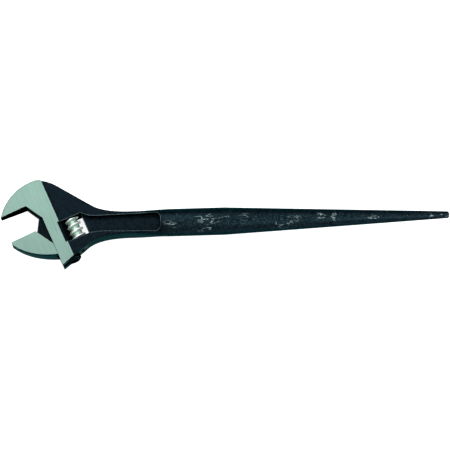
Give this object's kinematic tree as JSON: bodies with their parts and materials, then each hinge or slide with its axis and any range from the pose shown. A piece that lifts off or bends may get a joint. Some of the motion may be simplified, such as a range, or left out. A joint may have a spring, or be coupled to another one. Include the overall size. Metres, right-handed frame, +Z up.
{
  "type": "adjustable construction wrench",
  "caption": "Adjustable wrench with a forged head, a worm-driven sliding jaw and a long round handle that tapers to a spud point for lining up bolt holes.",
  "frame": {"origin": "middle of the underside of the whole wrench's bounding box, lying flat on one side of its head with the jaws as built", "axes": "+X along the handle from the head to its point, +Y across the head towards the fixed jaw's back, +Z up through the wrench's thickness"},
  "size_m": [0.3808, 0.0754, 0.0235],
  "materials": {
    "black_forging": "black oxide on forged alloy steel, with the jaw and head faces ground bright",
    "ground_jaw": "forged alloy steel, black oxide, with its faces ground bright",
    "worm_steel": "turned bright steel",
    "pin_steel": "black oxide",
    "spring_wire": "drawn spring wire"
  },
  "bodies": {
    "body": {"body": "black_forging", "worm_pin": "pin_steel"},
    "jaw": {"sliding_jaw": "ground_jaw"},
    "worm": {"worm": "worm_steel", "worm_spring": "spring_wire"}
  },
  "joints": [
    {"name": "jaw_slide", "type": "slide", "parent": "body", "child": "jaw", "axis": [0.3827, -0.9239, 0], "range_m": [-0.0237, 0.0143]},
    {"name": "worm_turn", "type": "hinge", "parent": "body", "child": "worm", "pos_m": [-0.12731, -0.00484, 0.01175], "axis": [0.3827, -0.9239, 0], "range_deg": [-955, 1582]}
  ],
  "couplings": [
    {"joint": "worm_turn", "follows": "jaw_slide", "rad_per_m": -1163.6}
  ]
}
